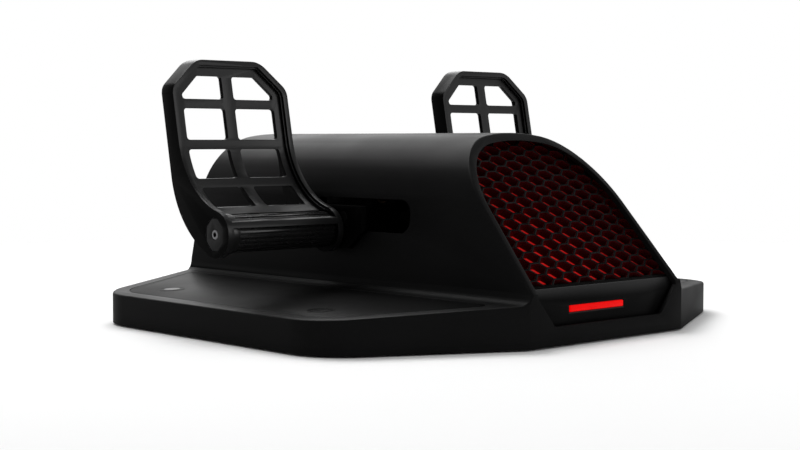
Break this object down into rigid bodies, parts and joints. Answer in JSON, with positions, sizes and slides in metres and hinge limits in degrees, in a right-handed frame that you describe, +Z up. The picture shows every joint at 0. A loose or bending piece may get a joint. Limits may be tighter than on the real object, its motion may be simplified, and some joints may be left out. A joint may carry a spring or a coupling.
{
  "type": "flight simulator rudder pedals",
  "caption": "Rudder pedals with a domed base, heel decks, lit honeycomb grille and open-grid pedals on sliding arms.",
  "frame": {"origin": "on the floor, under the middle of the base", "axes": "+X to the user's right, +Y away from the user, +Z up"},
  "size_m": [0.45, 0.42, 0.215],
  "materials": {
    "shell_plastic": "fine textured satin black",
    "pad_rubber": "matt, finely grained",
    "grille_plastic": "satin black",
    "glow_panel": "translucent red diffuser",
    "chin_plastic": "satin black",
    "light_bar": "translucent red, lit",
    "circuit_board": "solder mask",
    "lamp": "small light-emitting diodes",
    "bright_steel": "turned",
    "bottom_steel": "powder coated",
    "foot_rubber": "matt",
    "bracket_steel": "powder coated",
    "cast_alloy": "machined",
    "gear_steel": "cut",
    "magnet": "plated",
    "brass_post": "turned",
    "socket_metal": "pressed",
    "spring_steel": "drawn wire",
    "bush_bronze": "sintered",
    "arm_black": "satin black",
    "dark_screw": "black oxide",
    "pedal_black": "satin black with soft edges",
    "bar_black": "satin black, ribbed",
    "collar_black": "satin black",
    "end_plate_black": "satin black"
  },
  "bodies": {
    "base": {"base_shell": "shell_plastic", "right_heel_pad": "pad_rubber", "left_heel_pad": "pad_rubber", "grille": "grille_plastic", "glow_panel": "glow_panel", "chin_panel": "chin_plastic", "light_bar": "light_bar", "lamp_board": "circuit_board", "lamps": "lamp", "lamp_posts": "bright_steel", "bottom_plate": "bottom_steel", "rubber_feet": "foot_rubber", "bottom_screws": "bright_steel", "front_rod_bracket": "bracket_steel", "rear_rod_bracket": "bracket_steel", "left_lower_rod": "bright_steel", "right_lower_rod": "bright_steel", "left_upper_rod": "bright_steel", "right_upper_rod": "bright_steel", "pinion_column": "cast_alloy", "pinion_bearings": "bright_steel", "rudder_sensor_board": "circuit_board", "main_board": "circuit_board", "board_posts": "brass_post", "usb_socket": "socket_metal", "rear_port_plate": "shell_plastic", "left_front_spring": "spring_steel", "left_rear_spring": "spring_steel", "right_front_spring": "spring_steel", "right_rear_spring": "spring_steel"},
    "pinion": {"pinion": "gear_steel", "rudder_magnet": "magnet"},
    "left_carriage": {"left_slide_block": "cast_alloy", "left_slide_bushes": "bush_bronze", "left_rack": "gear_steel", "left_arm": "arm_black", "left_arm_screws": "dark_screw", "left_axle": "bright_steel", "left_toe_spring": "spring_steel"},
    "right_carriage": {"right_slide_block": "cast_alloy", "right_slide_bushes": "bush_bronze", "right_rack": "gear_steel", "right_arm": "arm_black", "right_arm_screws": "dark_screw", "right_axle": "bright_steel", "right_toe_spring": "spring_steel"},
    "left_pedal": {"left_pedal_frame": "pedal_black", "left_foot_bar": "bar_black", "left_bar_collar": "collar_black", "left_axle_bushes": "bush_bronze", "left_end_insert": "cast_alloy", "left_end_plate": "end_plate_black", "left_end_screw": "bright_steel"},
    "right_pedal": {"right_pedal_frame": "pedal_black", "right_foot_bar": "bar_black", "right_bar_collar": "collar_black", "right_axle_bushes": "bush_bronze", "right_end_insert": "cast_alloy", "right_end_plate": "end_plate_black", "right_end_screw": "bright_steel"}
  },
  "joints": [
    {"name": "left_rudder_slide", "type": "slide", "parent": "base", "child": "left_carriage", "axis": [0, 1, 0], "range_m": [-0.038, 0.038], "stiffness_N_per_m": 350, "deforming": ["left_front_spring", "left_rear_spring"]},
    {"name": "right_rudder_slide", "type": "slide", "parent": "base", "child": "right_carriage", "axis": [0, 1, 0], "range_m": [-0.038, 0.038], "stiffness_N_per_m": 350, "deforming": ["right_front_spring", "right_rear_spring"]},
    {"name": "pinion_spin", "type": "hinge", "parent": "base", "child": "pinion", "pos_m": [0, 0.0083, 0.088], "axis": [0, 0, 1], "range_deg": [-61, 61]},
    {"name": "left_toe_brake", "type": "hinge", "parent": "left_carriage", "child": "left_pedal", "pos_m": [-0.1484, 0.0083, 0.0784], "axis": [-1, 0, 0], "range_deg": [0, 22], "stiffness_Nm_per_rad": 3, "springref_deg": -17.19},
    {"name": "right_toe_brake", "type": "hinge", "parent": "right_carriage", "child": "right_pedal", "pos_m": [0.1484, 0.0083, 0.0784], "axis": [-1, 0, 0], "range_deg": [0, 22], "stiffness_Nm_per_rad": 3, "springref_deg": -17.19}
  ],
  "couplings": [
    {"joint": "right_rudder_slide", "follows": "left_rudder_slide", "ratio": -1},
    {"joint": "pinion_spin", "follows": "left_rudder_slide", "rad_per_m": -27.778}
  ]
}
